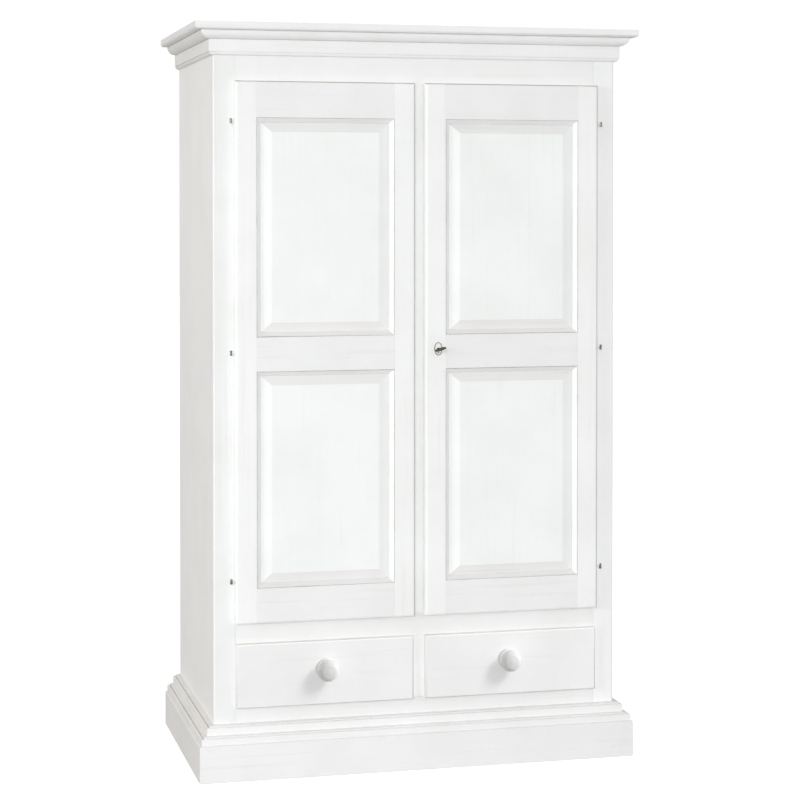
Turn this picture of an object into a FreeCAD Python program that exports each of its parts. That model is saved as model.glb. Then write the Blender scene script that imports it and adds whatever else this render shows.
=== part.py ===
"""Painted solid-wood wardrobe with two panelled doors over two drawers, as a FreeCAD document.

The carcass is two side boards behind a jointed face frame, closed by thin back panels. A mitred crown and
frieze go round the top, and a mitred plinth with a stepped moulding goes round the foot, on the front and
both sides. The doors lie on the face frame on small barrel hinges, and the drawers run on wooden runners.

Frame: +X right, +Y back, +Z up, origin on the floor at the centre of the outer box. Sizes in millimetres.
"""
import FreeCAD, Part
import math
import os

import Sketcher
from FreeCAD import Placement, Rotation, Vector

sizes = {
    # whole cabinet
    "overall_height": 2000,
    "carcass_width": 1116,
    "carcass_depth": 630,
    "board_thick": 22,
    "shelf_thick": 18,
    # crown, from its top edge down
    "crown_projection": 54,
    "crown_lip_height": 12,
    "crown_lip_round": 8,
    "crown_fillet": 1.5,
    "crown_ovolo_radius": 22.5,
    "crown_board_thick": 18,
    "crown_lap": 20,
    # frieze under the crown
    "frieze_height": 41,
    "frieze_proud": 12.5,
    "frieze_fillet": 1.5,
    "frieze_ovolo_radius": 7.5,
    # the narrow grooves that set the mouldings off
    "quirk_height": 1.2,
    "quirk_depth": 3,
    "lap_in": 2,
    # foot
    "plinth_height": 98,
    "plinth_projection": 44,
    "plinth_thick": 25,
    "plinth_chamfer": 3,
    "lower_step_height": 22,
    "lower_step_proud": 38,
    "upper_step_height": 25,
    "upper_step_proud": 21,
    "tread_fall": 2,
    "bead_width": 5,
    "bead_drop": 4.5,
    "bead_round": 3.5,
    "step_quirk_width": 2,
    "step_quirk_depth": 2.5,
    "block_length": 70,
    # face frame
    "stile_width": 59,
    "post_width": 36,
    "arris_radius": 5,
    "top_rail_reveal": 72,
    "middle_rail_height": 60.5,
    "bottom_rail_reveal": 42.5,
    "drawer_opening_height": 167.5,
    # inside
    "tray_depth": 39,
    "hat_space": 265,
    "shelf_setback": 14,
    "cleat_thick": 20,
    "cleat_height": 30,
    "rail_drop": 65,
    "rail_radius": 12.5,
    "rail_wall": 1.5,
    "socket_flange_radius": 24,
    "socket_flange_thick": 4,
    "socket_length": 14,
    "socket_wall": 2.5,
    "fit_gap": 0.3,
    "floor_drop": 12,
    "base_board_drop": 27.5,
    "back_thick": 6,
    "back_inset": 2,
    "back_rebate": 8,
    "muntin_width": 60,
    "muntin_thick": 16,
    # doors
    "door_thick": 27,
    "door_lap": 4.5,
    "door_edge_round": 8,
    "door_stile_face": 57.5,
    "door_top_rail_face": 96.5,
    "door_foot_rail_face": 94.5,
    "door_middle_rail_face": 91.5,
    "lower_recess_height": 574,
    "sticking_width": 12,
    "sticking_drop": 12,
    "sticking_quirk_width": 1.4,
    "sticking_quirk_depth": 3.5,
    "sticking_set_back": 1,
    "groove_back": 5,
    "groove_width": 7.5,
    "groove_depth": 10,
    "panel_edge_gap": 1,
    "panel_face_gap": 0.2,
    "panel_edge_thick": 4.2,
    "panel_thick": 15,
    "side_bevel_width": 29.5,
    "end_bevel_width": 25.5,
    # hinges
    "hinge_out": 10,
    "hinge_proud": 21,
    "hinge_top_inset": 106.5,
    "hinge_bottom_inset": 114,
    "eye_radius": 3.2,
    "eye_height": 6.2,
    "eye_gap": 0.8,
    "hinge_pin_radius": 1.4,
    "running_clearance": 0.05,
    "leg_radius": 1.8,
    "leg_bite": 16,
    # lock on the right door
    "lock_backset": 36,
    "lock_rise": 7.5,
    "lock_case_gap": 6.5,
    "lock_case_length": 52,
    "lock_case_height": 66,
    "lock_case_thick": 14,
    "lock_plate_thick": 2,
    "bolt_length": 44,
    "bolt_height": 14,
    "bolt_thick": 7,
    "bolt_throw": 9,
    "bolt_rise": 20,
    "strike_height": 40,
    "strike_thick": 1.5,
    "strike_width": 13,
    "mortise_spare": 3,
    "key_shaft_radius": 2.8,
    "key_tip_radius": 2,
    "key_tip_length": 2.5,
    "key_stick_out": 13.5,
    "key_lean": 18,
    "key_bow_radius": 13.5,
    "key_bow_wire": 2.3,
    "key_bit_length": 8,
    "key_bit_height": 9,
    "key_bit_thick": 2.6,
    "keyhole_slot": 4,
    "keyhole_clearance": 0.6,
    "escutcheon_height": 35,
    "escutcheon_width": 22,
    "escutcheon_thick": 2,
    "escutcheon_rim": 1.8,
    "escutcheon_sink": 0.8,
    # magnetic catch of the left door
    "catch_width": 16,
    "catch_height": 46,
    "catch_thick": 17,
    "catch_top_inset": 60,
    "keeper_thick": 1.5,
    "keeper_margin": 2,
    # drawers
    "drawer_front_thick": 18,
    "drawer_lap": 1.5,
    "drawer_edge_round": 4,
    "drawer_side_gap": 2,
    "drawer_side_thick": 12,
    "drawer_box_height": 130,
    "drawer_box_depth": 520,
    "drawer_bottom_thick": 5,
    "drawer_bottom_rise": 10,
    "drawer_groove_depth": 6,
    "runner_rise": 1.5,
    "runner_ledge": 20,
    "runner_guide_height": 18,
    "knob_radius": 29,
    "knob_length": 50,
    "knob_dome": 1.5,
    "knob_front_round": 18,
    "knob_base_radius": 27,
    "knob_base_thick": 5.5,
    "knob_base_round": 3,
    "knob_neck_radius": 15,
    "knob_rise": 11,
    "right_knob_shift": 10,
    "knob_dowel_radius": 6,
    "knob_dowel_length": 13,
}

doc = FreeCAD.newDocument("Wardrobe")
sheet = doc.addObject("Spreadsheet::Sheet", "Sizes")
for row, (alias, value) in enumerate(sizes.items(), start=1):
    sheet.set(f"A{row}", alias)
    sheet.set(f"B{row}", str(value))
    sheet.setAlias(f"B{row}", alias)
doc.recompute()


class Size:
    """A length that knows its number and its formula in the sheet, so every rule is written once."""

    def __init__(self, number, formula):
        self.number = number
        self.formula = formula

    def __add__(self, other):
        other = as_size(other)
        return Size(self.number + other.number, f"({self.formula} + {other.formula})")

    def __sub__(self, other):
        other = as_size(other)
        return Size(self.number - other.number, f"({self.formula} - {other.formula})")

    def __mul__(self, factor):
        return Size(self.number * factor, f"({self.formula} * {factor})")

    def __truediv__(self, divisor):
        return Size(self.number / divisor, f"({self.formula} / {divisor})")

    def __neg__(self):
        return Size(-self.number, f"(-1 * {self.formula})")

    __radd__ = __add__


def as_size(length):
    """A plain number becomes a Size, and a Size stays as it is."""
    return length if isinstance(length, Size) else Size(float(length), str(length))


def larger(first, second):
    """The larger of two sizes, in the sheet as well."""
    return Size(max(first.number, second.number), f"max({first.formula}; {second.formula})")


class SheetSizes:
    """Reads a driving size from the sheet by its alias."""

    def __getattr__(self, alias):
        return Size(float(sheet.get(alias)), f"Sizes.{alias}")


s = SheetSizes()


# ---------------------------------------------------------------- modelling helpers

def bind(item, **properties):
    """Binds properties of an object to formulas."""
    for name, length in properties.items():
        item.setExpression(name, as_size(length).formula)


def place(item, x, y, z):
    """Binds an object's position to formulas."""
    for axis, length in zip("xyz", (x, y, z)):
        item.setExpression(f"Placement.Base.{axis}", as_size(length).formula)
    return item


def new(kind, name):
    """A document object whose label is its name."""
    item = doc.addObject(kind, name)
    item.Label = name
    return item


def board(name, x, y, z):
    """A square-edged board between three pairs of stations."""
    box = new("Part::Box", name)
    bind(box, Length=x[1] - x[0], Width=y[1] - y[0], Height=z[1] - z[0])
    return place(box, x[0], y[0], z[0])


TURNS = {
    "x": Rotation(Vector(0, 1, 0), 90),
    "y": Rotation(Vector(1, 0, 0), -90),
    "z": Rotation(),
}


def rod(name, axis, radius, length, x, y, z):
    """A cylinder from a start point along +X, +Y or +Z."""
    cylinder = new("Part::Cylinder", name)
    cylinder.Placement = Placement(Vector(), TURNS[axis])
    bind(cylinder, Radius=radius, Height=length)
    return place(cylinder, x, y, z)


def fuse(name, *members):
    """One solid from several."""
    joined = new("Part::MultiFuse", name)
    joined.Shapes = list(members)
    joined.Refine = True
    return joined


def group(name, *members):
    """Separate solids that are one node."""
    together = new("Part::Compound", name)
    together.Links = list(members)
    return together


def cut(name, base, *tools):
    """A piece with holes, rebates or mortises taken out of it."""
    result = new("Part::Cut", name)
    result.Base = base
    result.Tool = tools[0] if len(tools) == 1 else fuse(f"{name}_tools", *tools)
    return result


def common(name, base, tool):
    """The part of a piece that lies inside another shape."""
    result = new("Part::Common", name)
    result.Base = base
    result.Tool = tool
    return result


def mirrored(name, source):
    """The left-hand twin of a right-hand piece."""
    twin = new("Part::Mirroring", name)
    twin.Source = source
    twin.Normal = Vector(1, 0, 0)
    return twin


def sketch_on(body, role, name, outline):
    """A closed outline on one of a body's origin planes, held at every corner by the sheet.

    A corner is (u, v), or (u, v, centre_u, centre_v) where an arc round that centre leads up to it.
    """
    sketch = body.newObject("Sketcher::SketchObject", name)
    plane = next(item for item in body.Origin.OriginFeatures if item.Role == role)
    sketch.AttachmentSupport = (plane, "")
    sketch.MapMode = "FlatFace"
    corners = [tuple(as_size(length) for length in corner) for corner in outline]
    points = [Vector(corner[0].number, corner[1].number, 0) for corner in corners]
    starts = []
    for index, corner in enumerate(corners):
        before = points[index - 1]
        here = points[index]
        if len(corner) == 2:
            edge = sketch.addGeometry(Part.LineSegment(before, here))
            starts.append((edge, 1, 2))
            continue
        centre = Vector(corner[2].number, corner[3].number, 0)
        spoke_before = before - centre
        spoke_here = here - centre
        counter_clockwise = spoke_before.cross(spoke_here).z > 0
        first, last = (spoke_before, spoke_here) if counter_clockwise else (spoke_here, spoke_before)
        circle = Part.Circle(centre, Vector(0, 0, 1), spoke_here.Length)
        arc = Part.ArcOfCircle(circle, math.atan2(first.y, first.x), math.atan2(last.y, last.x))
        edge = sketch.addGeometry(arc)
        starts.append((edge, 1, 2) if counter_clockwise else (edge, 2, 1))
    for index, corner in enumerate(corners):
        edge, _, end = starts[index]
        follower, start, _ = starts[(index + 1) % len(corners)]
        sketch.addConstraint(Sketcher.Constraint("Coincident", edge, end, follower, start))
        for kind, length in (("DistanceX", corner[0]), ("DistanceY", corner[1])):
            hold = sketch.addConstraint(Sketcher.Constraint(kind, -1, 1, edge, end, length.number))
            sketch.setExpression(f"Constraints[{hold}]", length.formula)
        if len(corner) == 4:
            hold = sketch.addConstraint(Sketcher.Constraint("DistanceX", -1, 1, edge, 3, corner[2].number))
            sketch.setExpression(f"Constraints[{hold}]", corner[2].formula)
    return sketch


def run(name, role, outline, length, x=0, y=0, z=0):
    """A moulding or board of one section: along +Z from XY, +X from YZ, or +Y from XZ."""
    body = new("PartDesign::Body", name)
    sketch = sketch_on(body, role, f"{name}_section", outline)
    pad = body.newObject("PartDesign::Pad", f"{name}_pad")
    pad.Profile = sketch
    pad.Reversed = role == "XZ_Plane"
    bind(pad, Length=length)
    place(body, x, y, z)
    return body


def pocket(body, role, name, outline):
    """Cuts an outline right through a body, both ways from the plane."""
    tool = body.newObject("PartDesign::Pocket", name)
    tool.Profile = sketch_on(body, role, f"{name}_outline", outline)
    tool.Type = 1
    tool.Midplane = True
    return tool


def rectangle(u, v):
    """The four corners between two pairs of stations."""
    return [(u[0], v[0]), (u[1], v[0]), (u[1], v[1]), (u[0], v[1])]


def rounded_slab(name, x, y, z, radius):
    """A board whose four front arrises are rounded."""
    body = run(name, "XZ_Plane", rectangle(x, z), y[1] - y[0], y=y[0])
    doc.recompute()
    pad = body.Tip
    front = [f"Edge{index}" for index, edge in enumerate(pad.Shape.Edges, start=1)
             if edge.BoundBox.YMax < min(vertex.Y for vertex in pad.Shape.Vertexes) + radius.number / 10]
    rounding = body.newObject("PartDesign::Fillet", f"{name}_rounding")
    rounding.Base = (pad, front)
    bind(rounding, Radius=radius)
    return body


# ---------------------------------------------------------------- stations that pieces share

half_width = s.carcass_width / 2
key_reach = s.door_thick + s.key_stick_out + s.key_bow_radius * 2
reach = larger(s.crown_projection, larger(s.drawer_front_thick + s.knob_length, key_reach))
face_y = (reach - s.carcass_depth) / 2
frame_back_y = face_y + s.board_thick
back_y = face_y + s.carcass_depth
back_panel_y = back_y - s.back_inset - s.back_thick
inside_x = half_width - s.board_thick

crown_height = s.crown_lip_height + s.crown_lip_round + s.crown_fillet + s.crown_ovolo_radius
crown_foot_z = s.overall_height - crown_height
frieze_foot_z = crown_foot_z - s.frieze_height
carcass_top_z = s.overall_height - s.crown_board_thick
mould_top_z = s.plinth_height + s.lower_step_height + s.upper_step_height

opening_x = half_width - s.stile_width
half_post = s.post_width / 2
drawer_sill_z = mould_top_z + s.bottom_rail_reveal
drawer_head_z = drawer_sill_z + s.drawer_opening_height
door_sill_z = drawer_head_z + s.middle_rail_height
door_head_z = frieze_foot_z - s.top_rail_reveal
base_board_z = drawer_sill_z - s.base_board_drop
floor_z = door_sill_z - s.floor_drop
top_board_z = carcass_top_z - s.tray_depth
top_board_under_z = top_board_z - s.shelf_thick
hat_shelf_z = top_board_under_z - s.hat_space

nodes = {}


def keep(node):
    """Marks a finished sub-part."""
    nodes[node.Label] = node
    return node


def keep_pair(label, right):
    """A right-hand piece and its mirror image, as the two solids of one node."""
    return keep(group(label, mirrored(f"{label}_left", right), right))


# ---------------------------------------------------------------- hinge stations

door_inner_x = half_post - s.door_lap
door_outer_x = opening_x + s.door_lap
door_foot_z = door_sill_z - s.door_lap
door_top_z = door_head_z + s.door_lap
door_front_y = face_y - s.door_thick
hinge_x = door_outer_x + s.hinge_out
hinge_y = face_y - s.hinge_proud
hinge_levels = {
    "bottom": door_foot_z + s.hinge_bottom_inset,
    "middle": (door_foot_z + door_top_z) / 2,
    "top": door_top_z - s.hinge_top_inset,
}


def leg_holes(prefix, axis, x, y, rise):
    """The three holes that take hinge legs, in a stile."""
    return [
        rod(f"{prefix}_{level}", axis, s.leg_radius + s.running_clearance, s.leg_bite * 2, x, y, z + rise)
        for level, z in hinge_levels.items()
    ]


frame_leg_rise = -(s.eye_height / 2)
door_leg_rise = s.eye_gap + s.eye_height / 2

# ---------------------------------------------------------------- carcass boards

# Side boards stand on the floor behind the frame stiles, rebated at the back for the back panels.
side_blank = board("side_blank", (inside_x, half_width), (frame_back_y, back_y),
                   (Size(0, "0"), carcass_top_z))
side_rebate = board("side_rebate", (inside_x - s.back_rebate, inside_x + s.back_rebate),
                    (back_panel_y, back_y + s.back_rebate), (base_board_z - s.shelf_thick, top_board_z))
side_right = keep(cut("side_right", side_blank, side_rebate))
side_left = keep(mirrored("side_left", side_right))

inner_back_y = back_panel_y
keep(board("top_board", (-inside_x, inside_x), (frame_back_y, inner_back_y),
           (top_board_under_z, top_board_z)))
keep(board("cabinet_floor", (-inside_x, inside_x), (frame_back_y, inner_back_y),
           (floor_z - s.shelf_thick, floor_z)))
keep(board("base_board", (-inside_x, inside_x), (frame_back_y, inner_back_y),
           (base_board_z - s.shelf_thick, base_board_z)))

back_panel_right = board("back_panel_right", (s.panel_face_gap, inside_x + s.back_rebate),
                         (back_panel_y, back_panel_y + s.back_thick),
                         (base_board_z - s.shelf_thick, top_board_z))
keep_pair("back_panels", back_panel_right)
keep(board("back_muntin", (-s.muntin_width / 2, s.muntin_width / 2),
           (inner_back_y - s.muntin_thick, inner_back_y), (floor_z, top_board_under_z)))
keep(board("drawer_partition", (-s.board_thick / 2, s.board_thick / 2), (frame_back_y, inner_back_y),
           (base_board_z, floor_z - s.shelf_thick)))

# ---------------------------------------------------------------- face frame

# Each stile is one long board with a rounded outer arris, bored for the hinge legs.
stile_outline = [
    (opening_x, face_y),
    (half_width - s.arris_radius, face_y),
    (half_width, face_y + s.arris_radius, half_width - s.arris_radius, face_y + s.arris_radius),
    (half_width, frame_back_y),
    (opening_x, frame_back_y),
]
stile_blank = run("stile_blank", "XY_Plane", stile_outline, carcass_top_z)
frame_holes = leg_holes("frame_hole", "y", hinge_x, face_y - s.leg_bite, frame_leg_rise)
frame_stile_right = keep(cut("frame_stile_right", stile_blank, *frame_holes))
frame_stile_left = keep(mirrored("frame_stile_left", frame_stile_right))

frame_depth = (face_y, frame_back_y)
keep(board("frame_top_rail", (-opening_x, opening_x), frame_depth, (door_head_z, carcass_top_z)))
keep(board("frame_middle_rail", (-opening_x, opening_x), frame_depth, (drawer_head_z, door_sill_z)))
keep(board("frame_bottom_rail", (-opening_x, opening_x), frame_depth,
           (base_board_z - s.shelf_thick * 3, drawer_sill_z)))
keep(board("drawer_post", (-half_post, half_post), frame_depth, (drawer_sill_z, drawer_head_z)))

# ---------------------------------------------------------------- crown and frieze

# Mouldings are drawn as (projection from the carcass, height) and run along the front and both returns.
mitre_far = s.crown_projection + s.plinth_projection


def moulding_set(name, section, inner):
    """Front piece with two mitred ends, and two returns mitred at the front.

    section lists (projection, height) corners; inner is how far it laps in over the carcass.
    """
    front_outline = [tuple(flip_front(index, length) for index, length in enumerate(corner))
                     for corner in section]
    front = run(f"{name}_front", "YZ_Plane", front_outline, (half_width + mitre_far) * 2,
                x=-(half_width + mitre_far))
    local_end = half_width * 2 + mitre_far
    for end, near, outward in (("right", local_end, 1), ("left", mitre_far, -1)):
        pocket(front, "XY_Plane", f"{name}_{end}_mitre", [
            (near - inner * outward, face_y + inner),
            (near + mitre_far * outward, face_y - mitre_far),
            (near + (mitre_far + inner) * outward, face_y - mitre_far),
            (near + (mitre_far + inner) * outward, face_y + inner),
        ])
    keep(front)

    return_outline = [tuple(half_width + length if index % 2 == 0 else length
                            for index, length in enumerate(corner)) for corner in section]
    side = run(f"{name}_return", "XZ_Plane", return_outline, s.carcass_depth + mitre_far,
               y=face_y - mitre_far)
    pocket(side, "XY_Plane", f"{name}_return_mitre", [
        (half_width - inner, mitre_far + inner),
        (half_width - inner, Size(0, "0") - inner),
        (half_width + mitre_far + inner, Size(0, "0") - inner),
        (half_width + mitre_far, Size(0, "0")),
    ])
    keep_pair(f"{name}_returns", side)


def flip_front(index, length):
    """Projection runs towards -Y on the front; heights stay."""
    return face_y - length if index % 2 == 0 else as_size(length)


lip_foot_z = s.overall_height - s.crown_lip_height
lip_under_z = lip_foot_z - s.crown_lip_round
lip_round_p = s.crown_projection - s.crown_lip_round
ovolo_top_z = lip_under_z - s.crown_fillet
ovolo_p = s.frieze_proud + s.crown_ovolo_radius
lip_quirk_p = ovolo_p - s.quirk_depth
quirk_floor_p = s.frieze_proud - s.quirk_depth
crown_section = [
    (-s.crown_lap, s.overall_height),
    (-s.crown_lap, carcass_top_z),
    (0, carcass_top_z),
    (0, crown_foot_z),
    (quirk_floor_p, crown_foot_z),
    (quirk_floor_p, crown_foot_z + s.quirk_height),
    (s.frieze_proud, crown_foot_z + s.quirk_height),
    (ovolo_p, ovolo_top_z, s.frieze_proud, ovolo_top_z),
    (ovolo_p, lip_under_z - s.quirk_height),
    (lip_quirk_p, lip_under_z - s.quirk_height),
    (lip_quirk_p, lip_under_z),
    (lip_round_p, lip_under_z),
    (s.crown_projection, lip_foot_z, lip_round_p, lip_foot_z),
    (s.crown_projection, s.overall_height),
]
moulding_set("crown", crown_section, s.crown_lap)

frieze_ovolo_p = s.frieze_proud - s.frieze_fillet
frieze_ovolo_z = frieze_foot_z + s.frieze_ovolo_radius
frieze_section = [
    (0, crown_foot_z),
    (0, frieze_foot_z),
    (frieze_ovolo_p - s.frieze_ovolo_radius, frieze_foot_z),
    (frieze_ovolo_p, frieze_ovolo_z, frieze_ovolo_p - s.frieze_ovolo_radius, frieze_ovolo_z),
    (quirk_floor_p, frieze_ovolo_z),
    (quirk_floor_p, frieze_ovolo_z + s.quirk_height),
    (s.frieze_proud, frieze_ovolo_z + s.quirk_height),
    (s.frieze_proud, crown_foot_z),
]
moulding_set("frieze", frieze_section, s.lap_in)

# ---------------------------------------------------------------- stepped base moulding and plinth

step_z = s.plinth_height + s.lower_step_height


def stepped_nosing(proud, tread, tread_z):
    """One step from its face up: a rounded bead, a quirk behind it, and a tread that falls to the quirk."""
    bead_z = tread_z - s.bead_drop
    bead_back = proud - s.bead_width
    quirk_back = bead_back - s.step_quirk_width
    return [
        (proud, bead_z - s.bead_round),
        (proud - s.bead_round, bead_z, proud - s.bead_round, bead_z - s.bead_round),
        (bead_back, bead_z),
        (bead_back, bead_z - s.step_quirk_depth),
        (quirk_back, bead_z - s.step_quirk_depth),
        (quirk_back, tread_z - s.tread_fall),
        (tread, tread_z),
    ]


base_section = [(0, s.plinth_height), (s.lower_step_proud, s.plinth_height)]
base_section += stepped_nosing(s.lower_step_proud, s.upper_step_proud, step_z)
base_section += stepped_nosing(s.upper_step_proud, 0, mould_top_z)
moulding_set("base_moulding", base_section, s.lap_in)

plinth_inner = s.plinth_projection - s.plinth_thick
plinth_section = [
    (plinth_inner, s.plinth_height),
    (plinth_inner, 0),
    (s.plinth_projection, 0),
    (s.plinth_projection, s.plinth_height - s.plinth_chamfer),
    (s.plinth_projection - s.plinth_chamfer, s.plinth_height),
]
moulding_set("plinth", plinth_section, s.lap_in)

# Blocks glued between the carcass and the plinth carry it at the corners and the back ends.
block_z = (Size(0, "0"), s.plinth_height - s.plinth_chamfer)
side_gap_x = (half_width, half_width + plinth_inner)
blocks = []
for label, x, y in (
    ("front", (half_width - s.block_length * 2, half_width - s.block_length),
     (face_y - plinth_inner, face_y)),
    ("side", side_gap_x, (face_y + s.block_length, face_y + s.block_length * 2)),
    ("rear", side_gap_x, (back_y - s.block_length, back_y)),
):
    block = board(f"block_{label}", x, y, block_z)
    blocks += [block, mirrored(f"block_{label}_left", block)]
keep(group("plinth_blocks", *blocks))

# ---------------------------------------------------------------- doors

stile_inner = s.door_stile_face + s.sticking_width
groove_front_y = face_y - s.groove_back - s.groove_width
groove_back_y = face_y - s.groove_back
quirk_y = door_front_y + s.sticking_quirk_depth
sticking_top_y = door_front_y + s.sticking_set_back
sticking_foot_y = sticking_top_y + s.sticking_drop


def stuck_section(outer, inward):
    """Section of a stile or rail: grooved for the panel, with a splayed moulding worked on its front edge.

    A narrow quirk ends the flat face, and behind it the splay falls to the edge that holds the panel; inward
    is the direction from the face to that edge. The corners are (across, depth).
    """
    face, edge = outer
    splay = face + s.sticking_quirk_width * inward
    sunk = edge - s.groove_depth * inward
    return [
        (face, door_front_y),
        (face, quirk_y),
        (splay, quirk_y),
        (splay, sticking_top_y),
        (edge, sticking_foot_y),
        (edge, groove_front_y),
        (sunk, groove_front_y),
        (sunk, groove_back_y),
        (edge, groove_back_y),
        (edge, face_y),
    ]


# The door as one rounded slab: its stiles and rails are shaped together after gluing.
door_envelope = rounded_slab("door_envelope", (door_inner_x, door_outer_x), (door_front_y, face_y),
                             (door_foot_z, door_top_z), s.door_edge_round)
door_height = door_top_z - door_foot_z

meeting_face_x = door_inner_x + s.door_stile_face
meeting_edge_x = door_inner_x + stile_inner
hanging_face_x = door_outer_x - s.door_stile_face
hanging_edge_x = door_outer_x - stile_inner

meeting_section = stuck_section((meeting_face_x, meeting_edge_x), 1)
meeting_section += [(door_inner_x, face_y), (door_inner_x, door_front_y)]
hanging_section = stuck_section((hanging_face_x, hanging_edge_x), -1)
hanging_section += [(door_outer_x, face_y), (door_outer_x, door_front_y)]
meeting_run = run("meeting_stile_run", "XY_Plane", meeting_section, door_height, z=door_foot_z)
hanging_run = run("hanging_stile_run", "XY_Plane", hanging_section, door_height, z=door_foot_z)
meeting_stile = common("meeting_stile", meeting_run, door_envelope)
hanging_rounded = common("hanging_stile_rounded", hanging_run, door_envelope)
door_holes = leg_holes("door_hole", "x", door_outer_x - s.leg_bite, hinge_y, door_leg_rise)
hanging_stile = cut("hanging_stile", hanging_rounded, *door_holes)

foot_rail_face_z = door_foot_z + s.door_foot_rail_face
middle_rail_z = foot_rail_face_z + s.lower_recess_height
middle_rail_top_z = middle_rail_z + s.door_middle_rail_face
top_rail_face_z = door_top_z - s.door_top_rail_face

# The rails are coped to the stiles, and cleared where the quirk turns the corners of each recess.
quirk_x = {
    "meeting": (meeting_face_x, meeting_face_x + s.sticking_quirk_width),
    "hanging": (hanging_face_x - s.sticking_quirk_width, hanging_face_x),
}
recess_z = {"lower": (foot_rail_face_z, middle_rail_z), "upper": (middle_rail_top_z, top_rail_face_z)}
quirk_ways = [
    board(f"{side}_{recess}_quirk", x, (door_front_y, quirk_y), z)
    for side, x in quirk_x.items() for recess, z in recess_z.items()
]
cope = fuse("cope", meeting_run, hanging_run, *quirk_ways)


def swapped(section):
    """The same section for a rail: depth first, then height."""
    turned = []
    for corner in section:
        turned.append((corner[1], corner[0]) + ((corner[3], corner[2]) if len(corner) == 4 else ()))
    return turned


def reversed_section(section):
    """The same corners the other way round, with each arc kept on the edge it belongs to."""
    backwards = []
    for index in range(len(section) - 1, -1, -1):
        corner = section[index][:2]
        following = section[(index + 1) % len(section)]
        backwards.append(corner + following[2:] if len(following) == 4 else corner)
    return backwards


def coped_rail(name, section):
    """A rail whose ends are coped over the stiles' moulding and tongued into their grooves."""
    blank = run(f"{name}_run", "YZ_Plane", section, hanging_face_x - meeting_face_x, x=meeting_face_x)
    rounded = common(f"{name}_rounded", blank, door_envelope)
    return cut(name, rounded, cope)


top_section = swapped(stuck_section((top_rail_face_z, top_rail_face_z - s.sticking_width), -1)
                      + [(door_top_z, face_y), (door_top_z, door_front_y)])
foot_section = swapped(stuck_section((foot_rail_face_z, foot_rail_face_z + s.sticking_width), 1)
                       + [(door_foot_z, face_y), (door_foot_z, door_front_y)])
middle_upper = stuck_section((middle_rail_top_z, middle_rail_top_z + s.sticking_width), 1)
middle_lower = stuck_section((middle_rail_z, middle_rail_z - s.sticking_width), -1)
middle_section = swapped(middle_upper + reversed_section(middle_lower))
top_rail = coped_rail("top_rail", top_section)
foot_rail = coped_rail("foot_rail", foot_section)
middle_rail = coped_rail("middle_rail", middle_section)


def raised_panel(name, low_z, high_z):
    """A fielded panel: a flat raised field with four wide bevels down to a thin edge in the grooves."""
    overlap = s.groove_depth - s.panel_edge_gap
    margin = s.sticking_width - overlap
    x = (meeting_face_x + margin, hanging_face_x - margin)
    z = (low_z + margin, high_z - margin)
    body = run(name, "XZ_Plane", rectangle(x, z), s.panel_edge_thick,
               y=groove_back_y - s.panel_face_gap - s.panel_edge_thick)
    side_inset = s.side_bevel_width + overlap
    end_inset = s.end_bevel_width + overlap
    field_x = (x[0] + side_inset, x[1] - side_inset)
    field_z = (z[0] + end_inset, z[1] - end_inset)
    edge_sketch = sketch_on(body, "XZ_Plane", f"{name}_edge", rectangle(x, z))
    field_sketch = sketch_on(body, "XZ_Plane", f"{name}_field", rectangle(field_x, field_z))
    bind(field_sketch, **{"AttachmentOffset.Base.z": s.panel_thick - s.panel_edge_thick})
    bevel = body.newObject("PartDesign::AdditiveLoft", f"{name}_bevel")
    bevel.Profile = edge_sketch
    bevel.Sections = [field_sketch]
    bevel.Ruled = True
    return body


lower_panel = raised_panel("lower_panel", *recess_z["lower"])
upper_panel = raised_panel("upper_panel", *recess_z["upper"])

# ---------------------------------------------------------------- lock, key and keyhole plate

key_x = door_inner_x + s.lock_backset
key_z = (middle_rail_z + middle_rail_top_z) / 2 + s.lock_rise
lock_x = door_inner_x + s.lock_case_gap
lock_back_y = face_y + s.lock_case_thick
bolt_z = key_z + s.bolt_rise
bolt_mid_y = face_y + s.lock_case_thick / 2
bolt_y = (bolt_mid_y - s.bolt_thick / 2, bolt_mid_y + s.bolt_thick / 2)
key_hole_radius = s.key_shaft_radius + s.keyhole_clearance
bit_sweep = s.key_shaft_radius + s.key_bit_height + s.keyhole_clearance


def keyhole(name, y, depth):
    """A keyhole: a round hole for the shaft with a slot below it for the bit."""
    round_part = rod(f"{name}_round", "y", key_hole_radius, depth, key_x, y, key_z)
    slot = board(f"{name}_slot", (key_x - s.keyhole_slot / 2, key_x + s.keyhole_slot / 2), (y, y + depth),
                 (key_z - bit_sweep, key_z))
    return fuse(name, round_part, slot)


stile_keyhole = keyhole("stile_keyhole", door_front_y - s.door_thick, s.door_thick * 3)
lock_stile = cut("door_right_meeting_stile", meeting_stile, stile_keyhole)

case_top_z = bolt_z + s.bolt_height
case_box = board("lock_case_box", (lock_x, lock_x + s.lock_case_length), (face_y, lock_back_y),
                 (case_top_z - s.lock_case_height, case_top_z))
bolt_way = board("bolt_way", (lock_x - s.bolt_throw, lock_x + s.bolt_length + s.fit_gap),
                 (bolt_y[0] - s.fit_gap, bolt_y[1] + s.fit_gap),
                 (bolt_z - s.bolt_height / 2 - s.fit_gap, bolt_z + s.bolt_height / 2 + s.fit_gap))
key_well = rod("key_well", "y", bit_sweep, s.lock_case_thick, key_x, face_y - s.lock_plate_thick, key_z)
tip_hole = rod("tip_hole", "y", s.key_tip_radius + s.running_clearance, s.lock_case_thick * 2, key_x, face_y,
               key_z)
lock_case = keep(cut("lock_case", case_box, bolt_way, key_well, tip_hole))
keep(board("lock_bolt", (lock_x, lock_x + s.bolt_length), bolt_y,
           (bolt_z - s.bolt_height / 2, bolt_z + s.bolt_height / 2)))

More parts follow.
